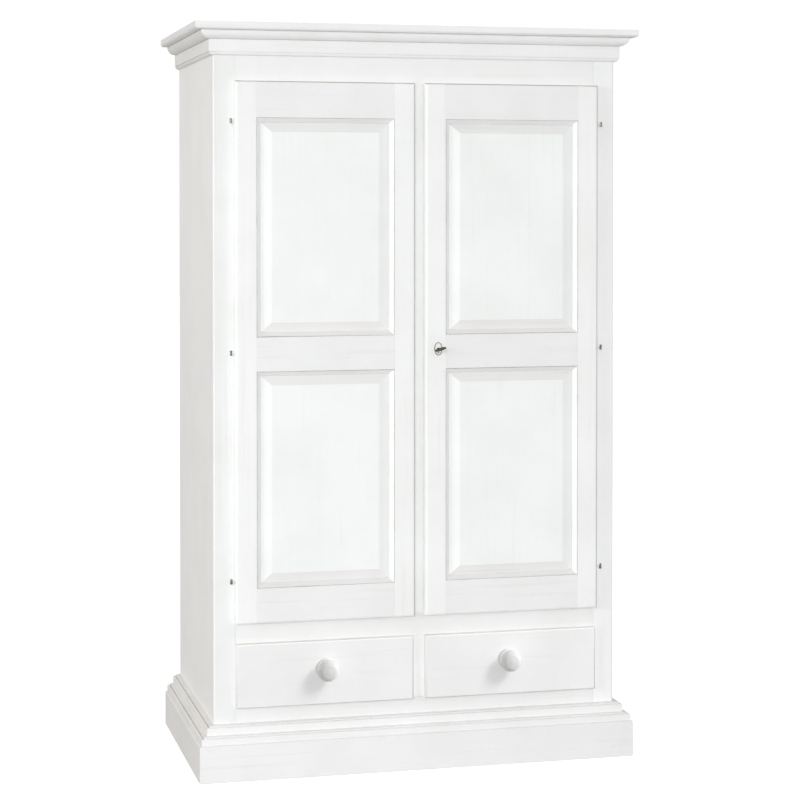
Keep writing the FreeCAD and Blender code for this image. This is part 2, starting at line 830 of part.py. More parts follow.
well_floor_y = lock_back_y - s.lock_plate_thick
key_shoulder_y = well_floor_y - s.fit_gap
key_front_y = door_front_y - s.key_stick_out
key_shaft = rod("key_shaft", "y", s.key_shaft_radius, key_shoulder_y - key_front_y, 0, key_front_y, 0)
key_tip = rod("key_tip", "y", s.key_tip_radius, s.key_tip_length, 0, key_shoulder_y, 0)
key_bit = board("key_bit", (-s.key_shaft_radius - s.key_bit_height, Size(0, "0")),
                (key_shoulder_y - s.key_bit_length, key_shoulder_y),
                (-s.key_bit_thick / 2, s.key_bit_thick / 2))
key_bow = new("Part::Torus", "key_bow")
bind(key_bow, Radius1=s.key_bow_radius, Radius2=s.key_bow_wire)
place(key_bow, 0, key_front_y - s.key_bow_radius + s.key_bow_wire, 0)
key = group("key", fuse("key_forging", key_shaft, key_tip, key_bit, key_bow))
key.Placement = Placement(Vector(), Rotation(Vector(0, -1, 0), s.key_lean.number))
bind(key, **{"Placement.Rotation.Angle": s.key_lean})
keep(place(key, key_x, 0, key_z))

upright = Rotation(Vector(0, 0, 1), Vector(1, 0, 0), Vector(0, 1, 0), "ZXY")


def oval(name, margin, y, depth):
    """An upright oval disc, that much smaller all round than the keyhole plate, reaching forward from y."""
    edge = new("Part::Ellipse", f"{name}_edge")
    bind(edge, MajorRadius=s.escutcheon_height / 2 - margin, MinorRadius=s.escutcheon_width / 2 - margin)
    edge.Placement = Placement(Vector(), upright)
    place(edge, key_x, y, key_z)
    disc = new("Part::Extrusion", name)
    disc.Base = edge
    disc.Dir = Vector(0, -1, 0)
    disc.DirMode = "Custom"
    disc.Solid = True
    bind(disc, LengthFwd=depth)
    return disc


plate = oval("escutcheon_plate", 0, door_front_y, s.escutcheon_thick)
plate_field_y = door_front_y - s.escutcheon_thick + s.escutcheon_sink
plate_dish = oval("escutcheon_dish", s.escutcheon_rim, plate_field_y, s.escutcheon_thick)
plate_keyhole = keyhole("plate_keyhole", door_front_y - s.door_thick, s.door_thick * 2)
keep(cut("escutcheon", plate, plate_dish, plate_keyhole))

# The post takes the bolt in a mortise behind a strike plate let in flush.
strike_z = (bolt_z - s.strike_height / 2, bolt_z + s.strike_height / 2)
strike_y = (bolt_y[0] - (s.strike_width - s.bolt_thick) / 2, bolt_y[1] + (s.strike_width - s.bolt_thick) / 2)
post_blank = board("post_blank", (-half_post, half_post), frame_depth, (door_sill_z, door_head_z))
strike_seat = board("strike_seat", (half_post - s.strike_thick, half_post + s.strike_thick), strike_y,
                    strike_z)
mortise_y = (bolt_y[0] - s.keyhole_clearance, bolt_y[1] + s.keyhole_clearance)
mortise_reach = s.bolt_height / 2 + s.keyhole_clearance
mortise_z = (bolt_z - mortise_reach, bolt_z + mortise_reach)
mortise = board("mortise", (lock_x - s.bolt_throw - s.mortise_spare, half_post + s.strike_thick),
                mortise_y, mortise_z)
keep(cut("door_post", post_blank, strike_seat, mortise))
strike_blank = board("strike_blank", (half_post - s.strike_thick, half_post), strike_y, strike_z)
strike_hole = board("strike_hole", (half_post - s.strike_thick * 2, half_post + s.strike_thick), mortise_y,
                    mortise_z)
keep(cut("strike_plate", strike_blank, strike_hole))

# ---------------------------------------------------------------- magnetic catch of the left door

catch_z = (door_head_z - s.catch_top_inset - s.catch_height, door_head_z - s.catch_top_inset)
catch_y = face_y + s.keeper_thick + s.fit_gap
keep(board("door_catch", (-half_post - s.catch_width, -half_post), (catch_y, catch_y + s.catch_thick),
           catch_z))
keep(board("catch_keeper", (-half_post - s.catch_width, -half_post - s.keeper_margin),
           (face_y, face_y + s.keeper_thick), catch_z))

# ---------------------------------------------------------------- door sub-parts, right and left

right_door = {
    "hanging_stile": hanging_stile,
    "end_rails": group("end_rails", top_rail, foot_rail),
    "middle_rail": middle_rail,
    "upper_panel": upper_panel,
    "lower_panel": lower_panel,
}
keep(lock_stile)
keep(mirrored("door_left_meeting_stile", meeting_stile))
for label, piece in right_door.items():
    keep(group(f"door_right_{label}", piece))
    keep(mirrored(f"door_left_{label}", piece))

# ---------------------------------------------------------------- barrel hinges

frame_eyes = []
door_eyes = []
for level, z in hinge_levels.items():
    eye = rod(f"frame_eye_{level}", "z", s.eye_radius, s.eye_height, hinge_x, hinge_y, z - s.eye_height)
    pin = rod(f"hinge_pin_{level}", "z", s.hinge_pin_radius, s.eye_height * 1.8, hinge_x, hinge_y,
              z - s.eye_height)
    leg = rod(f"frame_leg_{level}", "y", s.leg_radius, s.hinge_proud + s.leg_bite, hinge_x, hinge_y,
              z + frame_leg_rise)
    frame_eyes.append(fuse(f"frame_half_{level}", eye, pin, leg))
    barrel = rod(f"door_eye_{level}", "z", s.eye_radius, s.eye_height, hinge_x, hinge_y, z + s.eye_gap)
    arm = rod(f"door_leg_{level}", "x", s.leg_radius, s.hinge_out + s.leg_bite,
              hinge_x - s.hinge_out - s.leg_bite, hinge_y, z + door_leg_rise)
    bore = rod(f"eye_bore_{level}", "z", s.hinge_pin_radius + s.running_clearance, s.eye_height * 3, hinge_x,
               hinge_y, z - s.eye_height)
    door_eyes.append(cut(f"door_half_{level}", fuse(f"door_half_blank_{level}", barrel, arm), bore))
right_frame_eyes = group("right_frame_eyes", *frame_eyes)
keep(group("hinge_frame_halves", mirrored("left_frame_eyes", right_frame_eyes), right_frame_eyes))
door_right_eyes = keep(group("door_right_hinge_halves", *door_eyes))
keep(mirrored("door_left_hinge_halves", door_right_eyes))

# ---------------------------------------------------------------- hat shelf and clothes rail

shelf_y = (frame_back_y + s.shelf_setback, inner_back_y - s.muntin_thick - s.fit_gap)
keep(board("hat_shelf", (-inside_x + s.fit_gap, inside_x - s.fit_gap), shelf_y,
           (hat_shelf_z - s.shelf_thick, hat_shelf_z)))
cleat_top_z = hat_shelf_z - s.shelf_thick
cleat = board("cleat_right", (inside_x - s.cleat_thick, inside_x), shelf_y,
              (cleat_top_z - s.cleat_height, cleat_top_z))
keep_pair("shelf_cleats", cleat)

rail_z = cleat_top_z - s.rail_drop
rail_y = (frame_back_y + inner_back_y) / 2
rail_end_x = inside_x - s.socket_flange_thick - s.fit_gap
rail_tube = rod("rail_tube", "x", s.rail_radius, rail_end_x * 2, -rail_end_x, rail_y, rail_z)
rail_bore = rod("rail_bore", "x", s.rail_radius - s.rail_wall, rail_end_x * 4, rail_end_x * -2, rail_y,
                rail_z)
keep(cut("clothes_rail", rail_tube, rail_bore))
flange = rod("socket_flange", "x", s.socket_flange_radius, s.socket_flange_thick,
             inside_x - s.socket_flange_thick, rail_y, rail_z)
cup = rod("socket_cup", "x", s.rail_radius + s.fit_gap + s.socket_wall, s.socket_length,
          inside_x - s.socket_length, rail_y, rail_z)
cup_bore = rod("socket_bore", "x", s.rail_radius + s.fit_gap, s.socket_length,
               inside_x - s.socket_length - s.socket_flange_thick, rail_y, rail_z)
socket = cut("socket_right", fuse("socket_blank", flange, cup), cup_bore)
keep_pair("rail_sockets", socket)

# ---------------------------------------------------------------- drawers

drawer_front_y = face_y - s.drawer_front_thick
drawer_front_x = (half_post - s.drawer_lap, opening_x + s.drawer_lap)
drawer_front_z = (drawer_sill_z - s.drawer_lap, drawer_head_z + s.drawer_lap)
box_x = (half_post + s.drawer_side_gap, opening_x - s.drawer_side_gap)
runner_top_z = drawer_sill_z + s.runner_rise
box_z = (runner_top_z + s.fit_gap, runner_top_z + s.fit_gap + s.drawer_box_height)
box_back_y = face_y + s.drawer_box_depth
bottom_z = (box_z[0] + s.drawer_bottom_rise, box_z[0] + s.drawer_bottom_rise + s.drawer_bottom_thick)
bottom_x = (box_x[0] + s.drawer_side_thick - s.drawer_groove_depth,
            box_x[1] - s.drawer_side_thick + s.drawer_groove_depth)
bottom_y = (face_y - s.drawer_groove_depth, box_back_y)
drawer_mid_x = (drawer_front_x[0] + drawer_front_x[1]) / 2
knob_x = {"right": drawer_mid_x - s.right_knob_shift, "left": drawer_mid_x}
knob_z = (drawer_front_z[0] + drawer_front_z[1]) / 2 + s.knob_rise

front_slab = rounded_slab("drawer_front_slab", drawer_front_x, (drawer_front_y, face_y), drawer_front_z,
                          s.drawer_edge_round)
bottom_groove = board("bottom_groove", bottom_x, bottom_y, bottom_z)
drawer_fronts = {}
for side, x in knob_x.items():
    dowel_hole = rod(f"dowel_hole_{side}", "y", s.knob_dowel_radius + s.running_clearance,
                     s.knob_dowel_length * 2, x, drawer_front_y - s.knob_dowel_length, knob_z)
    drawer_fronts[side] = cut(f"drawer_front_{side}", front_slab, bottom_groove, dowel_hole)

side_blanks = [
    board("drawer_side_inner", (box_x[0], box_x[0] + s.drawer_side_thick), (face_y, box_back_y), box_z),
    board("drawer_side_outer", (box_x[1] - s.drawer_side_thick, box_x[1]), (face_y, box_back_y), box_z),
]
side_pieces = [cut(f"{blank.Label}_grooved", blank, bottom_groove) for blank in side_blanks]
drawer_back = board("drawer_back", (box_x[0] + s.drawer_side_thick, box_x[1] - s.drawer_side_thick),
                    (box_back_y - s.drawer_side_thick, box_back_y), (bottom_z[1], box_z[1]))
drawer_bottom = board("drawer_bottom", bottom_x, bottom_y, bottom_z)

# The knob is turned in one piece with its dowel: a rounded base, a coved neck and a full round head.
head_y = s.knob_length - s.knob_dome - s.knob_front_round
shoulder_y = head_y - (s.knob_radius - s.knob_neck_radius)
cove_x = s.knob_base_radius - s.knob_base_round
cove_y = s.knob_base_thick + (cove_x - s.knob_neck_radius)
dome_x = s.knob_radius - s.knob_front_round
dome_y = s.knob_length - s.knob_dome
knob = new("PartDesign::Body", "knob")
knob_outline = [
    (0, s.knob_dowel_length),
    (s.knob_dowel_radius, s.knob_dowel_length),
    (s.knob_dowel_radius, 0),
    (s.knob_base_radius, 0),
    (s.knob_base_radius, -(s.knob_base_thick - s.knob_base_round)),
    (cove_x, -s.knob_base_thick, cove_x, -(s.knob_base_thick - s.knob_base_round)),
    (s.knob_neck_radius, -cove_y, cove_x, -cove_y),
    (s.knob_neck_radius, -shoulder_y),
    (s.knob_radius, -head_y, s.knob_neck_radius, -head_y),
    (dome_x, -dome_y, dome_x, -head_y),
    (0, -s.knob_length, 0, s.knob_front_round - s.knob_length),
]
knob_sketch = sketch_on(knob, "XY_Plane", "knob_outline", knob_outline)
turning = knob.newObject("PartDesign::Revolution", "knob_turning")
turning.Profile = knob_sketch
turning.ReferenceAxis = (knob_sketch, ["V_Axis"])
place(knob, 0, drawer_front_y, knob_z)

keep(group("drawer_right_front", drawer_fronts["right"]))
keep(mirrored("drawer_left_front", drawer_fronts["left"]))
keep(place(group("drawer_right_knob", knob), knob_x["right"], 0, 0))
keep(mirrored("drawer_left_knob", place(group("left_knob_twin", knob), knob_x["left"], 0, 0)))
drawer_rest = {"box": group("drawer_box", *side_pieces, drawer_back), "bottom": drawer_bottom}
for label, piece in drawer_rest.items():
    keep(group(f"drawer_right_{label}", piece))
    keep(mirrored(f"drawer_left_{label}", piece))

# Runners: a ledge under each drawer side and a taller guide beside it, on the base board.
runner_y = (frame_back_y, inner_back_y)
ledge_z = (base_board_z, runner_top_z)
guide_z = (base_board_z, runner_top_z + s.runner_guide_height)
half_partition = s.board_thick / 2
outer_runner = fuse(
    "outer_runner",
    board("outer_ledge", (box_x[1] - s.runner_ledge, inside_x), runner_y, ledge_z),
    board("outer_guide", (box_x[1] + s.drawer_side_gap, inside_x), runner_y, guide_z),
)
inner_runner = fuse(
    "inner_runner",
    board("inner_ledge", (half_partition, box_x[0] + s.runner_ledge), runner_y, ledge_z),
    board("inner_guide", (half_partition, box_x[0] - s.drawer_side_gap), runner_y, guide_z),
)
right_runners = group("right_runners", outer_runner, inner_runner)
keep(group("drawer_runners", mirrored("left_runners", right_runners), right_runners))

# ---------------------------------------------------------------- check and write

doc.recompute()
faults = [item.Label for item in doc.Objects if "Invalid" in item.State or "Error" in item.State]
for label, node in nodes.items():
    if node.Shape.isNull() or not node.Shape.isValid() or not node.Shape.Solids:
        faults.append(label)
if faults:
    raise RuntimeError(f"features that failed: {sorted(set(faults))}")

os.makedirs("parts", exist_ok=True)
for label, node in nodes.items():
    node.Shape.exportStep(f"parts/{label}.step")
print(f"{len(nodes)} sub-parts, {sum(len(node.Shape.Solids) for node in nodes.values())} solids")
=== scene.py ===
"""A white-painted country armoire in old paint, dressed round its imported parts."""
import math

import bmesh
import bpy
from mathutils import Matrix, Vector


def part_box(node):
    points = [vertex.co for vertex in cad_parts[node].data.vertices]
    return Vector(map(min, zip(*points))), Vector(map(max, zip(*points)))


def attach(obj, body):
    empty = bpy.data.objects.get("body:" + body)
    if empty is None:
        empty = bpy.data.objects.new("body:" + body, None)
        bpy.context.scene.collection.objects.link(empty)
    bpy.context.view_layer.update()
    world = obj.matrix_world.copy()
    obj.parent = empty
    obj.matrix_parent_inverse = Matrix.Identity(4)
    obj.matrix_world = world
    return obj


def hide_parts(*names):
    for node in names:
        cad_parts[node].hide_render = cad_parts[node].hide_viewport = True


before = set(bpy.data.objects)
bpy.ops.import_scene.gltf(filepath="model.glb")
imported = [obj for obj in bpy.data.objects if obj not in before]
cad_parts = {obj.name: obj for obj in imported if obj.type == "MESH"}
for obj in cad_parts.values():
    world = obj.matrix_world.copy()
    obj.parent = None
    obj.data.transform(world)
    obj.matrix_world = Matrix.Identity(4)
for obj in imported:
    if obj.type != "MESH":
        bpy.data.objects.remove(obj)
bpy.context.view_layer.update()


# ------------------------------------------------------------------ plinth
# Three tall boards of painted wood, mitred at the front corners, with small glue blocks behind them.
# The top arris is chamfered, and the paint has worn thin along the arrises.

plinth_arris = 0.0012
weld_distance = 2e-6
flat_within = math.radians(0.5)     # facets that turn less than this become one face
sharp_from = math.radians(32)       # edges that turn more than this stay crisp
broad_face = 0.015                  # square metres: shaded flat from here on, whichever way it faces
narrow_face = 0.001                 # square metres: shaded flat from here on, where it faces squarely


def eased_copy(node, arris, rounds=2, sharper_than=24):
    """A merged copy of a CAD board whose sharp arrises are rubbed round by that much.

    Large flat faces are shaded flat, because smooth shading left dark patches on them.
    """
    shape = bmesh.new()
    shape.from_mesh(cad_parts[node].data)
    bmesh.ops.remove_doubles(shape, verts=shape.verts, dist=weld_distance)
    bmesh.ops.dissolve_limit(shape, angle_limit=flat_within, verts=shape.verts, edges=shape.edges)
    arrises = [edge for edge in shape.edges
               if edge.is_manifold and edge.calc_face_angle() > math.radians(sharper_than)
               and edge.calc_length() > arris * 2.5]
    if arris:
        bmesh.ops.bevel(shape, geom=arrises, offset=arris, offset_type="OFFSET", affect="EDGES",
                        segments=rounds, profile=0.5, material=-1, clamp_overlap=True)
    mesh = bpy.data.meshes.new(f"{node}_made")
    shape.to_mesh(mesh)
    shape.free()
    mesh.set_sharp_from_angle(angle=sharp_from)
    for face in mesh.polygons:
        squarely = max(abs(part) for part in face.normal) > 0.9999
        face.use_smooth = not (face.area > broad_face or squarely and face.area > narrow_face)
    piece = bpy.data.objects.new(f"{node}_made", mesh)
    bpy.context.scene.collection.objects.link(piece)
    flats = piece.modifiers.new("flat_faces_first", "WEIGHTED_NORMAL")
    flats.mode = "FACE_AREA"
    flats.weight = 50
    flats.keep_sharp = True
    return piece


def shader_node(tree, kind, settings=(), **sockets):
    """Adds a node; a socket given as another node's output is linked, and a plain value is set."""
    node = tree.nodes.new(kind)
    for key, value in dict(settings).items():
        setattr(node, key, value)
    for name, value in sockets.items():
        socket = node.inputs[name.replace("_", " ")]
        if isinstance(value, bpy.types.NodeSocket):
            tree.links.new(value, socket)
        else:
            socket.default_value = value
    return node


def blended(tree, amount, under, over):
    """Colour over laid on colour under, as thickly as amount says."""
    mix = tree.nodes.new("ShaderNodeMix")
    mix.data_type = "RGBA"
    for index, value in ((0, amount), (6, under), (7, over)):
        if isinstance(value, bpy.types.NodeSocket):
            tree.links.new(value, mix.inputs[index])
        else:
            mix.inputs[index].default_value = value
    return mix.outputs[2]


def between(tree, value, low, high, bottom=0.0, top=1.0):
    """Value brought from low..high to bottom..top, and kept inside."""
    return shader_node(tree, "ShaderNodeMapRange", Value=value, From_Min=low, From_Max=high,
                       To_Min=bottom, To_Max=top).outputs["Result"]


def times(tree, first, second):
    """Two amounts multiplied."""
    node = tree.nodes.new("ShaderNodeMath")
    node.operation = "MULTIPLY"
    for index, value in enumerate((first, second)):
        if isinstance(value, bpy.types.NodeSocket):
            tree.links.new(value, node.inputs[index])
        else:
            node.inputs[index].default_value = value
    return node.outputs[0]


def along_grain(tree, place, grain, across, lengthways):
    """Coordinates stretched so that a pattern runs along the grain."""
    scale = [across] * 3
    scale["XYZ".index(grain)] = lengthways
    return shader_node(tree, "ShaderNodeMapping", Vector=place, Scale=scale).outputs["Vector"]


def old_white_paint(name, grain, white=(0.885, 0.895, 0.888, 1), thin=0.12, crease_grime_and_shade=0.5):
    """White paint dragged on by brush over wood, with grey-brown patina on worn arrises, and a grey-brown
    darkening in quirks, creases and gaps between parts that is partly patina and partly painted shade.
    """
    material = bpy.data.materials.new(name)
    material.use_nodes = True
    tree = material.node_tree
    surface = tree.nodes["Principled BSDF"]
    place = tree.nodes.new("ShaderNodeTexCoord").outputs["Object"]
    fibres = shader_node(tree, "ShaderNodeTexNoise", Vector=along_grain(tree, place, grain, 70, 2.2),
                         Scale=1.0, Detail=6.0, Roughness=0.62).outputs["Fac"]
    brush = shader_node(tree, "ShaderNodeTexNoise", Vector=along_grain(tree, place, grain, 260, 5),
                        Scale=1.0, Detail=3.0, Roughness=0.55).outputs["Fac"]
    cloud = shader_node(tree, "ShaderNodeTexNoise", Vector=place, Scale=4.5, Detail=4.0,
                        Roughness=0.6).outputs["Fac"]
    patches = shader_node(tree, "ShaderNodeTexNoise", Vector=along_grain(tree, place, grain, 60, 16),
                          Scale=1.0, Detail=5.0, Roughness=0.7).outputs["Fac"]
    red, green, blue = white[:3]
    greyer = (red * 0.955, green * 0.955, blue * 0.95, 1)
    # One grey-brown serves both for real patina and for painted shade.
    grime_and_shade_brown = (0.40, 0.355, 0.30, 1)
    coat = blended(tree, between(tree, cloud, 0.38, 0.66), white, greyer)
    coat = blended(tree, times(tree, between(tree, fibres, 0.56, 0.78), thin), coat, grime_and_shade_brown)
    # Where the AO node finds the surface hemmed in, the paint is darkened: partly patina in the quirks,
    # partly painted shade in creases and between parts.
    shaded = shader_node(tree, "ShaderNodeAmbientOcclusion", {"samples": 8}, Distance=0.003).outputs["AO"]
    quirk_grime_and_shade = times(tree, between(tree, shaded, 0.12, 0.66, 1.0, 0.0),
                   between(tree, patches, 0.3, 0.62, 0.5, 1.0))
    coat = blended(tree, times(tree, quirk_grime_and_shade, crease_grime_and_shade), coat, grime_and_shade_brown)
    rounded = shader_node(tree, "ShaderNodeBevel", {"samples": 4}, Radius=0.0022).outputs["Normal"]
    facing = tree.nodes.new("ShaderNodeVectorMath")
    facing.operation = "DOT_PRODUCT"
    tree.links.new(rounded, facing.inputs[0])
    tree.links.new(tree.nodes.new("ShaderNodeNewGeometry").outputs["Normal"], facing.inputs[1])
    rubbed = times(tree, between(tree, facing.outputs["Value"], 0.9, 0.985, 1.0, 0.0),
                   between(tree, patches, 0.50, 0.66))
    coat = blended(tree, times(tree, rubbed, 0.32), coat, grime_and_shade_brown)
    tree.links.new(coat, surface.inputs["Base Color"])
    tree.links.new(between(tree, fibres, 0.3, 0.7, 0.42, 0.56), surface.inputs["Roughness"])
    surface.inputs["Specular IOR Level"].default_value = 0.4
    ridges = shader_node(tree, "ShaderNodeBump", Strength=0.16, Distance=0.0006, Height=fibres)
    drag = shader_node(tree, "ShaderNodeBump", Strength=0.12, Distance=0.0003, Height=brush,
                       Normal=ridges.outputs["Normal"])
    tree.links.new(drag.outputs["Normal"], surface.inputs["Normal"])
    return material


def dressed(node, body, arris, material, rounds=2):
    """A CAD board's eased copy with its finish, which takes the board's place."""
    piece = eased_copy(node, arris, rounds)
    piece.data.materials.clear()
    piece.data.materials.append(material)
    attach(piece, body)
    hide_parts(node)
    return piece


# The paint across the grain, on the plinth front, door rails and drawer fronts, has a greyer white than the
# upright paint; the difference is partly painted shade.
paint_across = old_white_paint("old_white_paint_across", "X", white=(0.84, 0.842, 0.842, 1), crease_grime_and_shade=0.6)
paint_upright = old_white_paint("old_white_paint_upright", "Z", crease_grime_and_shade=0.7)
paint_deep = old_white_paint("old_white_paint_front_to_back", "Y", white=(0.80, 0.782, 0.76, 1))
dressed("plinth_front", "carcass", plinth_arris, paint_across)
dressed("plinth_returns", "carcass", plinth_arris, paint_deep)


# ------------------------------------------------------------------ stepped base moulding
# Two rounded steps run in one strip of wood, mitred round the foot of the cabinet and laid on the plinth.
# Patina and painted shade darken the quirks between the steps.

base_arris = 0.0007
paint_base = old_white_paint("old_white_paint_base", "X", white=(0.85, 0.852, 0.85, 1), crease_grime_and_shade=1.0)
dressed("base_moulding_front", "carcass", base_arris, paint_base)
dressed("base_moulding_returns", "carcass", base_arris, paint_deep)


# ------------------------------------------------------------------ carcass sides
# Two wide flat boards that stand on the floor behind the front frame, grain upright.
# They are painted like the front, on a slightly warmer ground.

paint_side = old_white_paint("old_white_paint_side", "Z", white=(0.875, 0.862, 0.84, 1), thin=0.10)
side_arris = 0.0008
for side in ("left", "right"):
    dressed(f"side_{side}", "carcass", side_arris, paint_side)


# ------------------------------------------------------------------ bare boards inside
# Floor, top, shelf, partition, back panels and blocks are pale waxed softwood, left unpainted inside.
# Each board shows flat-sawn figure along its length and a soft satin surface.

def waxed_softwood(name, grain, light=(0.76, 0.60, 0.40, 1), dark=(0.60, 0.42, 0.24, 1)):
    """Pale softwood with growth rings drawn out along the grain and a thin wax."""
    material = bpy.data.materials.new(name)
    material.use_nodes = True
    tree = material.node_tree
    surface = tree.nodes["Principled BSDF"]
    place = tree.nodes.new("ShaderNodeTexCoord").outputs["Object"]
    stretched = along_grain(tree, place, grain, 9, 0.55)
    rings = shader_node(tree, "ShaderNodeTexWave", {"wave_type": "RINGS", "rings_direction": grain},
                        Vector=stretched, Scale=1.3, Distortion=5.0, Detail=3.0, Detail_Scale=1.6,
                        Detail_Roughness=0.55).outputs["Fac"]
    fibres = shader_node(tree, "ShaderNodeTexNoise", Vector=along_grain(tree, place, grain, 300, 6),
                         Scale=1.0, Detail=4.0).outputs["Fac"]
    cloud = shader_node(tree, "ShaderNodeTexNoise", Vector=place, Scale=3.0, Detail=3.0).outputs["Fac"]
    wood = blended(tree, times(tree, between(tree, rings, 0.25, 0.95), 0.55), light, dark)
    wood = blended(tree, between(tree, fibres, 0.35, 0.8, 0.0, 0.3), wood, dark)
    wood = blended(tree, between(tree, cloud, 0.35, 0.75, 0.0, 0.18), wood, (0.66, 0.55, 0.42, 1))
    tree.links.new(wood, surface.inputs["Base Color"])
    tree.links.new(between(tree, fibres, 0.3, 0.8, 0.45, 0.62), surface.inputs["Roughness"])
    bump = shader_node(tree, "ShaderNodeBump", Strength=0.2, Distance=0.0004, Height=fibres)
    tree.links.new(bump.outputs["Normal"], surface.inputs["Normal"])
    return material


wood_across = waxed_softwood("waxed_softwood_across", "X")
wood_upright = waxed_softwood("waxed_softwood_upright", "Z")
wood_deep = waxed_softwood("waxed_softwood_front_to_back", "Y")
board_arris = 0.0008
bare_boards = {
    "top_board": wood_across,
    "cabinet_floor": wood_across,
    "base_board": wood_across,
    "hat_shelf": wood_across,
    "drawer_partition": wood_deep,
    "drawer_runners": wood_deep,
    "shelf_cleats": wood_deep,
    "back_muntin": wood_upright,
    "back_panels": wood_upright,
    "plinth_blocks": wood_upright,
}
for board, wood in bare_boards.items():
    dressed(board, "carcass", board_arris, wood)


# ------------------------------------------------------------------ face frame
# Stiles, rails and two narrow posts jointed into one flat frame, glued on the front of the carcass.
# The joints show as fine lines, and the outer arrises of the stiles are well rounded.

joint_arris = 0.0008
# The left stile gets a greyer white than the other uprights: painted shade, against the light thrown back
# onto it from the door edge.
shaded_left_stile_paint = old_white_paint("old_white_left_stile_shaded", "Z", white=(0.83, 0.842, 0.835, 1),
                                   crease_grime_and_shade=0.35)
paint_frame_upright = old_white_paint("old_white_paint_frame_upright", "Z", crease_grime_and_shade=0.35)
# The frame rails get a greyer white and more darkening in their creases than the stiles: partly painted
# shade, along the door tops too.
paint_frame_across = old_white_paint("old_white_paint_frame_across", "X", white=(0.845, 0.847, 0.845, 1),
                                     crease_grime_and_shade=0.75)
dressed("frame_stile_left", "carcass", joint_arris, shaded_left_stile_paint)
for upright in ("frame_stile_right", "door_post", "drawer_post"):
    dressed(upright, "carcass", joint_arris, paint_frame_upright)
for rail in ("frame_top_rail", "frame_middle_rail", "frame_bottom_rail"):
    dressed(rail, "carcass", joint_arris, paint_frame_across)


# ------------------------------------------------------------------ frieze and crown
# A band with a rounded lower edge, and over it a crown with a quarter-round and a rounded lip.
# Both are mitred at the front corners and run back along the sides.

crown_arris = 0.0006
paint_crown = old_white_paint("old_white_paint_crown", "X", white=(0.86, 0.862, 0.862, 1), crease_grime_and_shade=0.3)
for moulding in ("frieze", "crown"):
    dressed(f"{moulding}_front", "carcass", crown_arris, paint_crown)
    dressed(f"{moulding}_returns", "carcass", crown_arris, paint_deep)


# ------------------------------------------------------------------ clothes rail
# A chromed steel tube carried in two flanged cups on the sides, under the hat shelf.
# Both are polished, with a faint haze from hangers along the tube.

def metal(name, colour, roughness, grime, grime_amount, bump=0.06, scale=320.0):
    """Solid metal with a fine worn surface and darker grime in patches."""
    material = bpy.data.materials.new(name)
    material.use_nodes = True
    tree = material.node_tree
    surface = tree.nodes["Principled BSDF"]
    place = tree.nodes.new("ShaderNodeTexCoord").outputs["Object"]
    pits = shader_node(tree, "ShaderNodeTexNoise", Vector=place, Scale=scale, Detail=5.0,
                       Roughness=0.65).outputs["Fac"]
    patches = shader_node(tree, "ShaderNodeTexNoise", Vector=place, Scale=scale / 5,
                          Detail=3.0).outputs["Fac"]
    skin = blended(tree, between(tree, patches, 0.42, 0.7, 0.0, grime_amount), colour, grime)
    tree.links.new(skin, surface.inputs["Base Color"])
    tree.links.new(between(tree, pits, 0.3, 0.75, roughness, roughness + 0.18), surface.inputs["Roughness"])
    surface.inputs["Metallic"].default_value = 1.0
    relief = shader_node(tree, "ShaderNodeBump", Strength=bump, Distance=0.0003, Height=pits)
    tree.links.new(relief.outputs["Normal"], surface.inputs["Normal"])
    return material


chromed = metal("chromed_steel", (0.80, 0.81, 0.82, 1), 0.10, (0.55, 0.56, 0.58, 1), 0.35, scale=60.0)
for fitting in ("clothes_rail", "rail_sockets"):
    dressed(fitting, "carcass", 0.0004, chromed)


# ------------------------------------------------------------------ doors
# Each door is a frame of two stiles and three rails, with a narrow quirk and a splay worked on the inner
# edges, and two panels fielded with wide bevels in its grooves. Its outer edge is rounded over, with painted
# shade in a dark paint at the back of the rounding on the right and the top, and a panel's top and foot
# bevels have a slightly darker ground.

faces_up = 0.7                      # z of a normal above which a face counts as a top edge
looks_forward = -0.12               # y of a normal below which a face is not one of the flat sides


def paint_shade_on_edges(piece, right, top, rounding, turned):
    """Lays dark paint at the back of the rounding, along the right and the top of a front, as painted shade.

    Turned is how far to the right a face of the rounding has to look before it takes the painted shade.
    """
    piece.data.materials.append(edge_shade_paint)
    for face in piece.data.polygons:
        on_right = face.normal.x > turned and face.center.x > right - rounding
        on_top = face.normal.z > faces_up and face.center.z > top - rounding
        if face.normal.y < looks_forward and (on_right or on_top):
            face.material_index = 1


door_arris = 0.0004
panel_arris = 0.0003
door_round = 0.009
door_turned = 0.7
